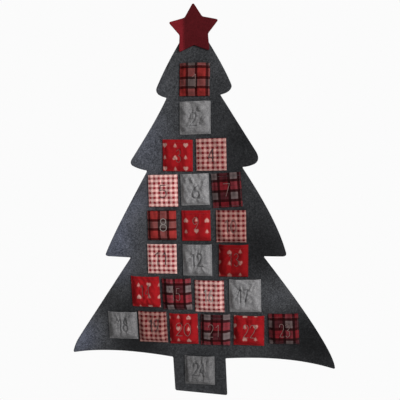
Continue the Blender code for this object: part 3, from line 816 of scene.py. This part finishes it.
cloth = {
    "seamY": -2.3 * mm, "thickness": {"cotton": 1.2 * mm, "felt": 1.9 * mm}, "seam": 1.8 * mm,
    "easeAcross": 3 * mm, "easeUp": 1 * mm,  # how much wider and taller it was cut than it is sewn
    "belly": 7 * mm, "slack": (0.86, 1.0),
    # how far in from a seam the belly is reached, as a share of half the width, and in full pockets that
    # share and the belly's gain. Past fullFrom it is reached more steeply.
    "reach": 0.45,
    "full": {4: (0.4, 0.55), 5: (0.4, 0.6), 8: (0.65, 1.3), 10: (0.5, 1.3), 11: (0.4, 0.75), 13: (0.6, 1.4),
             14: (0.65, 1.7), 15: (0.65, 1.6), 16: (0.65, 1.4), 18: (0.55, 1.5), 19: (0.6, 1.6),
             20: (0.65, 2.0), 21: (0.7, 1.8), 22: (0.65, 2.0), 23: (0.6, 1.4), 24: (0.55, 1.5)},
    "power": 2.2, "fullPower": 3.0, "fullFrom": 1.1,
    # how far the mouth stands forward, as a share of the belly, and of some days' own, and where up the
    # pocket that comes in, as shares of its height
    "mouthShare": 0.6,
    "mouths": {1: 1.0, 7: 0.5, 12: 0.95, 13: 1.1, 18: 0.4, 19: 0.4, 20: 0.35, 21: 0.5, 22: 0.4, 23: 0.3,
               24: 0.4},
    "mouthFrom": -0.1, "mouthAt": 0.5,
    "loosePower": 0.6,  # how soon the cloth is loose enough to wrinkle, away from its seams
    "dip": 1.6 * mm, "dipReach": 9 * mm,  # the stitching draws the middle in
    "groove": {"cotton": 1.1 * mm, "felt": 2.0 * mm}, "grooveWidth": 1.5 * mm,
    "lipShare": 0.3, "lipAway": 4.5 * mm, "lipWidth": 2 * mm,  # beside the groove the cloth stands up
    "gridStep": 1.0 * mm, "edgeOut": 0.7 * mm, "onEdge": 1e-6,
    "hem": 9 * mm, "hemRise": 0.6 * mm, "turnedEdge": 4.5 * mm, "turnedRise": 1.0 * mm, "riseOver": 1 * mm,
    "seed": 100,
}
# Folds that the stitching pulls out of the cloth, drawn at random, widths and lengths in millimetres: most
# run away from the middle, some upwards, and every third is a valley. Valleys also run off strokes' ends.
pulls = {
    "count": 12, "height": {"cotton": 1.1 * mm, "felt": 2.4 * mm}, "share": (0.35, 1),
    "besideFolds": 0.6,  # share of that height that is left where the larger folds below are laid
    "stray": 0.45, "upward": {"cotton": 0.25, "felt": 0.5}, "upwardStray": 0.4,
    "width": (1.6, 3.6), "length": (9, 26),
    "openFrom": 3 * mm,  # strokes whose ends are closer than this are rings
    "endSteps": 8, "endStray": 0.15, "endShare": 1.1, "endWidth": (1.8, 2.8), "endLength": (12, 26),
    "startFrom": -1 * mm, "startAt": 4 * mm,  # a fold comes in between these, along it
    "spread": 45 * mm,  # it is twice as wide this far from its start
}
# Crumples: sine waves in all directions, so many millimetres long
crumples = {"count": 7, "height": {"cotton": 0.36 * mm, "felt": 0.55 * mm}, "length": (12, 42),
            "start": (0, 6.28), "share": (0.4, 1)}
# Larger folds of some pockets: start across and up, direction in degrees, height (- is a valley), width and
# length, in millimetres
folds = {
    2: [(-18, 8, 125, 3.4, 5, 26), (-6, 14, 112, -3.6, 4, 24), (10, 16, 60, 3.4, 5, 24),
        (8, -12, -42, -3.8, 4, 30), (16, -2, -40, 3, 4, 26), (-12, -12, -120, 2.4, 5, 24),
        (28, 4, -90, 2.4, 4, 30)],
    5: [(-4, 18, 98, -1.6, 2.2, 20), (1, 18, 88, 1.4, 2.6, 20)],
    6: [(-2, 16, 112, 2.8, 2.6, 20), (-7, 14, 125, -2, 3, 18), (22, 24, -80, 1.8, 3.5, 40),
        (12, -18, -30, 1.5, 2, 10), (8, -24, -60, 1.5, 2, 10), (10, 14, 70, 1.6, 2.6, 14)],
    10: [(-22, 20, -90, 1.6, 4, 60), (2, 16, 85, 1.8, 3.5, 24), (18, 10, 100, -1.6, 3, 26)],
    11: [(10, 12, 84, 2, 2.8, 24), (5, 12, 95, -1.6, 2.4, 22)],
    12: [(-9, 15, 100, 4.2, 2.6, 18), (2, 15, 90, -3.6, 2.2, 20), (11, 15, 80, 4.2, 2.6, 18),
         (14, -12, -28, 3.2, 2.4, 20), (12, -18, -55, 3, 2.4, 16), (15, -8, -6, -2.8, 2.2, 18),
         (-13, 5, 160, 2.4, 3.4, 14)],
    13: [(12, 10, 75, -1.8, 5, 24), (-16, -8, -95, 1.5, 4, 24)],
    14: [(8, -18, -85, 2, 2.4, 16), (3, -16, -95, -2, 2.2, 16), (-4, -18, -100, 1.6, 2.4, 16),
         (-20, 20, -90, 1.5, 4, 40)],
    16: [(18, 12, 80, 2.2, 3, 24), (-14, 8, 100, -1.8, 3, 30)],
    17: [(-7, 12, 110, 3.2, 3.2, 22), (11, 12, 62, 3.2, 3, 22), (16, 16, 62, -2.5, 2, 20),
         (-2, -22, -70, 1.8, 3.5, 15), (-18, 14, 125, -2, 4, 18), (20, -10, -35, 1.6, 5, 20)],
    18: [(-8, 14, 118, 4.2, 2.6, 16), (-1, 15, 98, 3.6, 2.4, 16), (4, 13, 75, -3.4, 2.4, 18),
         (11, 10, 38, 3.8, 4.5, 20), (-18, 6, 165, -3, 4, 16), (10, -14, -35, 2.6, 3, 16)],
    19: [(3, 10, 86, 3.6, 4, 24), (12, 12, 70, -3, 3, 20), (-10, 12, 110, -2.6, 3, 20),
         (20, 0, -85, 2.6, 3.5, 30)],
    20: [(2, 10, 88, 3.4, 4, 26), (-7, 12, 100, -2.4, 3.5, 22), (16, 12, 80, -2.8, 3, 24)],
    22: [(-6, 16, 100, -2.2, 4, 22), (8, 18, 80, 2.4, 4, 20), (18, -8, -60, 2, 4, 20)],
    24: [(4, 16, 88, -2.6, 2.2, 20), (9, 14, 80, 2.8, 2.6, 22), (14, 12, 70, -2, 2.2, 18),
         (-12, 10, 130, -2.2, 6, 18), (-4, -16, -100, 1.6, 4, 16), (18, -4, -50, 2, 5, 20)],
}
# Stitching, as multiples of the thread's radius where no unit is given: it rises by lift between two
# stitches and dips by sink, and in the gap, a share of the stitch, it is hidden deeper in the cloth
numberThread = {"radius": 0.68 * mm, "stitch": 3.1 * mm, "gap": 0, "power": 0.35, "lift": 1.3, "sink": 0.55,
                "hidden": 0, "sides": 8}
seamThread = {"radius": 0.28 * mm, "stitch": 3.0 * mm, "gap": 0.28, "power": 0.5, "lift": 1.1, "sink": 0.35,
              "hidden": 1.2, "sides": 6}
stitching = {
    "thin": 0.72, "tip": 0.5,  # a thread's thickness where it dips, and at its ends beside that
    "hiddenBelow": 0.05, "pathStep": 0.4 * mm,
    "inset": 2.0 * mm, "belowMouth": 1 * mm, "aboveHem": 1.6 * mm,  # where the seams run
}


# One pocket: where its cloth is, from its own x (across) and y (up)
class Pocket:
    def __init__(self, day):
        self.day = day
        self.fabric, x, z, width, height, turn, lean, shiftAcross, shiftUp, self.lightness = pockets[day]
        self.kind = fabrics[self.fabric]["kind"]
        self.middle = np.array([x, z]) * mm
        self.width, self.height = width * mm, height * mm
        self.turn, self.lean = math.radians(turn), math.tan(math.radians(lean))
        self.shift = np.array([shiftAcross, shiftUp]) * mm
        self.strokes = [evenPath(path, numbers["pathStep"]) for path in numberStrokes(day)]
        self.marks = np.vstack([path[::numbers["markEvery"]] for path, _ in self.strokes])
        chance = np.random.default_rng(cloth["seed"] + day)
        self.pulls = self.drawnPulls(chance) + [
            ((x * mm, y * mm), math.radians(angle), lift * mm, width * mm, length * mm)
            for x, y, angle, lift, width, length in folds.get(day, ())]
        count = crumples["count"]  # direction, waves in a metre as an angle, start and share of each
        self.crumples = list(zip(chance.uniform(0, math.pi, count),
                                 2 * math.pi / (chance.uniform(*crumples["length"], count) * mm),
                                 chance.uniform(*crumples["start"], count),
                                 chance.uniform(*crumples["share"], count)))
        self.reach, fullness = cloth["full"].get(day, (cloth["reach"], 1))
        self.fullness = fullness * chance.uniform(*cloth["slack"])
        self.mouth = cloth["mouths"].get(day, cloth["mouthShare"])

    # start, direction, height, width and length of each random fold
    def drawnPulls(self, chance):
        count = pulls["count"]
        lift = pulls["height"][self.kind] * (pulls["besideFolds"] if self.day in folds else 1)
        starts = self.marks[chance.integers(0, len(self.marks), count)]
        away = np.arctan2(starts[:, 1], starts[:, 0]) + chance.normal(0, pulls["stray"], count)
        upward = chance.random(count) < pulls["upward"][self.kind]
        away = np.where(upward, math.pi / 2 + chance.normal(0, pulls["upwardStray"], count), away)
        lifts = chance.uniform(*pulls["share"], count) * np.where(np.arange(count) % 3 == 0, -lift, lift)
        drawn = list(zip(starts, away, lifts, chance.uniform(*pulls["width"], count) * mm,
                         chance.uniform(*pulls["length"], count) * mm))
        for path, _ in self.strokes:
            if np.hypot(*(path[0] - path[-1])) <= pulls["openFrom"]:
                continue
            for end, before in ((path[0], path[pulls["endSteps"]]), (path[-1], path[-1 - pulls["endSteps"]])):
                angle = math.atan2(*(end - before)[::-1]) + chance.normal(0, pulls["endStray"])
                drawn.append((end, angle, -pulls["endShare"] * lift, chance.uniform(*pulls["endWidth"]) * mm,
                              chance.uniform(*pulls["endLength"]) * mm))
        return drawn

    # share of the belly at this distance in from a sewn edge: 1 - (1 - d/reach)^power
    def rise(self, distance):
        reach = self.reach * (self.width / 2 - cloth["seam"])
        power = cloth["fullPower" if self.fullness > cloth["fullFrom"] else "power"]
        return 1 - (1 - np.clip((distance - cloth["seam"]) / reach, 0, 1)) ** power

    # height of the cloth's inner face over the seam: belly x rise across x rise up, drawn in towards the
    # mouth, less a dip and a groove along the number, with a lip beside it, plus folds and crumples
    def inner(self, x, y):
        free = self.rise(self.width / 2 - np.abs(x)) * self.rise(self.height / 2 + y)
        toMouth = ease(y, cloth["mouthFrom"] * self.height, cloth["mouthAt"] * self.height)
        height = cloth["belly"] * self.fullness * free * (1 - (1 - self.mouth) * toMouth)
        loose = free ** cloth["loosePower"]
        away = fromNearest(np.stack([x.ravel(), y.ravel()], 1), self.marks).reshape(x.shape)
        groove = cloth["groove"][self.kind]
        height = height - loose * cloth["dip"] * fading(away, cloth["dipReach"])
        height = height - loose * groove * fading(away, cloth["grooveWidth"])
        lip = fading(away - cloth["lipAway"], cloth["lipWidth"])
        height = height + loose * cloth["lipShare"] * groove * lip
        for start, angle, lift, width, length in self.pulls:
            along = (x - start[0]) * math.cos(angle) + (y - start[1]) * math.sin(angle)
            aside = -(x - start[0]) * math.sin(angle) + (y - start[1]) * math.cos(angle)
            beyond = np.clip(along, 0, None)
            fold = (fading(aside, width * (1 + beyond / pulls["spread"]))
                    * ease(along, pulls["startFrom"], pulls["startAt"]) * np.exp(-beyond / length))
            height = height + loose * lift * fold
        for angle, waves, start, share in self.crumples:
            ripple = np.sin((x * math.cos(angle) + y * math.sin(angle)) * waves + start)
            height = height + loose * share * crumples["height"][self.kind] * ripple
        return np.maximum(height, 0)

    # the cloth's own, and on a cotton also the larger of the hem's rise and the turned edge's, each of them
    # eased out at its width from the edge
    def thickness(self, x, y):
        thick = np.full(x.shape, cloth["thickness"][self.kind])
        if self.kind == "felt":
            return thick
        edge = np.minimum(self.width / 2 - np.abs(x), self.height / 2 + y)
        hem, turned = (cloth[rise] * (1 - ease(distance, cloth[width] - cloth["riseOver"], cloth[width]))
                       for distance, width, rise in ((self.height / 2 - y, "hem", "hemRise"),
                                                     (edge, "turnedEdge", "turnedRise")))
        return thick + np.maximum(hem, turned)

    # from the pocket's own x, y and height to the room: leaned (x + lean y), turned about Y, placed, and
    # moved with the tree's swellings
    def inRoom(self, x, y, height):
        x = x + self.lean * y
        roomX = self.middle[0] + x * math.cos(self.turn) + y * math.sin(self.turn)
        roomZ = self.middle[1] - x * math.sin(self.turn) + y * math.cos(self.turn)
        return np.stack([roomX, cloth["seamY"] - height + hangWave(roomX, roomZ), roomZ], -1)

    # the cloth on a grid: an outer face, an inner face, and between them an edge that bulges out a little, as
    # turned or cut cloth does
    def piece(self):
        columns, rows = (round(length / cloth["gridStep"]) + 1 for length in (self.width, self.height))
        x, y = np.meshgrid(np.linspace(-0.5, 0.5, columns) * self.width,
                           np.linspace(-0.5, 0.5, rows) * self.height)
        low = self.inner(x, y)
        top = low + self.thickness(x, y)
        count = rows * columns
        index = np.arange(count).reshape(rows, columns)
        ring = np.concatenate([index[0, :-1], index[:-1, -1], index[-1, :0:-1], index[:0:-1, 0]])
        ringX, ringY = x.ravel()[ring], y.ravel()[ring]
        out = cloth["edgeOut"] * np.stack([
            np.where(np.abs(across) > half - cloth["onEdge"], np.sign(across), 0)
            for across, half in ((ringX, self.width / 2), (ringY, self.height / 2))])
        middle = (low + top).ravel()[ring] / 2
        points = np.vstack([self.inRoom(x, y, top).reshape(-1, 3), self.inRoom(x, y, low).reshape(-1, 3),
                            self.inRoom(ringX + out[0], ringY + out[1], middle)])
        faces = gridFaces(index)
        rim = gridFaces(np.stack([ring + count, np.arange(len(ring)) + 2 * count, ring]), closed=True)
        flat = np.stack([x.ravel(), y.ravel()], 1) + self.shift
        # every point carries the pocket's painted tone and shade, less 1
        return meshPiece(f"pocket_{self.day:02d}_cloth", points, [faces, faces[:, ::-1] + count, rim],
                         self.fabric, np.vstack([flat, flat, flat[ring] + out.T]),
                         np.full(len(points), self.lightness - 1))

    # Threads along paths on the cloth, as one mesh of tubes with pointed ends. The height of a thread over
    # the surface, s being how far along it is, is radius x (lift |sin(pi s/stitch)|^power - sink).
    def threads(self, name, paths, look, finish, bolder=1):
        radius, sides, shown = look["radius"] * bolder, look["sides"], 1 - look["gap"]
        turn = roundAngles(sides)[None, :, None]
        points, tubes, tips, flatMap, first = [], [], [], [], 0
        for path, along in paths:
            x, y = path.T
            share = np.mod(along, look["stitch"]) / look["stitch"]
            hump = np.where(share < shown, np.abs(np.sin(math.pi * share / shown)) ** look["power"], 0)
            sunk = look["sink"] + look["hidden"] * (hump < stitching["hiddenBelow"])
            surface = self.inner(x, y) + self.thickness(x, y)
            spine = self.inRoom(x, y, surface + radius * (look["lift"] * hump - sunk))
            heading = np.gradient(spine, axis=0)
            heading /= np.linalg.norm(heading, axis=1)[:, None]
            aside = np.cross(heading, (0, -1, 0))
            aside /= np.linalg.norm(aside, axis=1)[:, None]
            outward = np.cross(aside, heading)
            thick = radius * (stitching["thin"] + (1 - stitching["thin"]) * hump)[:, None, None]
            thick[[0, -1]] *= stitching["tip"]
            tube = spine[:, None] + thick * (np.cos(turn) * aside[:, None] + np.sin(turn) * outward[:, None])
            points += [tube.reshape(-1, 3), spine[[0, -1]]]
            count = len(path) * sides
            index = np.arange(count).reshape(-1, sides) + first
            tubes.append(gridFaces(index, closed=True)[:, turnedOver])
            ahead = np.roll(index, -1, 1)
            tips.append(np.stack([np.full(sides, first + count), index[0], ahead[0]], -1))
            tips.append(np.stack([np.full(sides, first + count + 1), ahead[-1], index[-1]], -1))
            around = np.tile(np.arange(sides) / sides * mm, len(path))
            flatMap += [np.stack([np.repeat(along, sides), around], 1), np.stack([along[[0, -1]], [0, 0]], 1)]
            first += count + 2
        return meshPiece(name, np.vstack(points), [np.vstack(tubes), np.vstack(tips)], finish,
                         np.vstack(flatMap))

    def number(self):
        finish = numbers["threads"].get(self.day, fabrics[self.fabric]["number"])
        return self.threads(f"number_{self.day:02d}_thread", self.strokes, numberThread, finish,
                            numbers["bolder"].get(self.day, 1))

    # stitching down both sides and along the foot, and along a cotton's hem
    def seams(self):
        side, top = self.width / 2 - stitching["inset"], self.height / 2
        foot, end = stitching["inset"] - top, top - stitching["belowMouth"]
        runs = [[(-side, end), (-side, foot), (side, foot), (side, end)]]
        if self.kind == "cotton":
            hemY = top - cloth["hem"] + stitching["aboveHem"]
            runs.append([(-side, hemY), (side, hemY)])
        paths = [evenPath(np.array(run), stitching["pathStep"]) for run in runs]
        return self.threads(f"pocket_{self.day:02d}_seam", paths, seamThread, fabrics[self.fabric]["seam"])


for day in pockets:
    pocket = Pocket(day)
    sheet, number, seam = pocket.piece(), pocket.number(), pocket.seams()
    for part in (sheet, number, seam):
        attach(part, "calendar")
    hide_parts(f"pocket_{day:02d}")
    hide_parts(f"number_{day:02d}")
print("pockets ready:", len(pockets))

# Floor, far below the calendar: pale close by, and fading into the white behind it
floor = {
    "z": -1.30, "radius": 4.0, "rings": 24, "around": 96, "innermost": 0.001, "ringPower": 1.5,
    "colour": (0.86, 0.86, 0.86), "white": 0.965,
    "fadeFrom": 0.25, "fadeTo": 0.55, "nearWhite": 0.35,  # metres from the middle, and how white it is there
    "shader": {"Roughness": 0.9, "Specular IOR Level": 0.1},
}


def floorFinish():
    finish = Finish(bpy.data.materials.new("paleFloor"), {"Base Color": floor["colour"], **floor["shader"]})
    away = finish.node("VectorMath", {"operation": "LENGTH"}, {0: finish.place()})["Value"]
    near, far = (math.hypot(floor["z"], floor[end]) for end in ("fadeFrom", "fadeTo"))
    white = floor["nearWhite"] + finish.slope(away, near, far) * (1 - floor["nearWhite"])
    glow = finish.node("Emission", None, {"Color": (floor["white"],) * 3, "Strength": 1.0})["Emission"]
    lit = Signal(finish, finish.shader.outputs["BSDF"])
    mixed = finish.node("MixShader", None, {0: finish.seen() * white, 1: lit, 2: glow})["Shader"]
    finish.plug(finish.tree.nodes["Material Output"].inputs["Surface"], mixed)
    return finish.owner


# A round disc: rings at radius x share^power
def floorPiece():
    reach = np.linspace(floor["innermost"], 1, floor["rings"]) ** floor["ringPower"] * floor["radius"]
    ring, around = np.meshgrid(reach, roundAngles(floor["around"]), indexing="ij")
    points = np.stack([ring * np.cos(around), ring * np.sin(around), np.full(ring.shape, floor["z"])], -1)
    faces = gridFaces(np.arange(ring.size).reshape(ring.shape), closed=True)[:, turnedOver]
    return meshPiece("floor", points.reshape(-1, 3), [faces], "paleFloor")


finishes["paleFloor"] = floorFinish()
floorPiece()

# Light: a large soft lamp on the right, a weak one in front, and a pale room that the camera sees as white
lamps = {
    "key": {"place": (5.2, -3.64, 2.5), "aim": (-0.05, 0, -0.42), "size": (2.6, 2.6), "power": 690,
            "colour": (0.97, 0.985, 1.0)},
    "front": {"place": (-0.2, -2.0, 0.9), "aim": (0, 0, -0.45), "size": (1.4, 1.0), "power": 3.5,
              "colour": (1.0, 0.985, 0.96)},
}
room = {"light": 0.095, "white": 0.965}
for name, lamp in lamps.items():
    data = bpy.data.lights.new(name, "AREA")
    data.shape, (data.size, data.size_y) = "RECTANGLE", lamp["size"]
    data.energy, data.color = lamp["power"], lamp["colour"]
    light = bpy.data.objects.new(name, data)
    light.location = lamp["place"]
    light.rotation_euler = (Vector(lamp["aim"]) - Vector(lamp["place"])).to_track_quat("-Z", "Y").to_euler()
    bpy.context.scene.collection.objects.link(light)
bpy.context.scene.world = bpy.data.worlds.new("paleRoom")
walls = Finish(bpy.context.scene.world)
wallColour = walls.blend(walls.seen(), (room["light"],) * 3, (room["white"],) * 3)
walls.plug(walls.shader.inputs["Color"], wallColour)

# Camera, where the photograph was taken from: turned left, looking down a little and tilted, in degrees
photoView = {
    "aim": (0.0106, 0.002, -0.4402), "distance": 1.1475,
    "turnLeft": 9.0, "lookDown": 4.0, "tilt": -1.2,
    "lens": 40.5, "sensor": 36, "seesTo": 50,
}
eye = bpy.data.cameras.new("photoCamera")
eye.lens, eye.sensor_width, eye.clip_end = photoView["lens"], photoView["sensor"], photoView["seesTo"]
camera = bpy.data.objects.new("photoCamera", eye)
turned = (Matrix.Rotation(math.radians(photoView["turnLeft"]), 4, "Z")
          @ Matrix.Rotation(math.radians(90 - photoView["lookDown"]), 4, "X")
          @ Matrix.Rotation(math.radians(photoView["tilt"]), 4, "Z"))
back = turned.to_3x3() @ Vector((0, 0, photoView["distance"]))
camera.matrix_world = Matrix.Translation(Vector(photoView["aim"]) + back) @ turned
bpy.context.scene.collection.objects.link(camera)
bpy.context.scene.camera = camera
bpy.context.scene.view_settings.view_transform = "Standard"

print("ready")
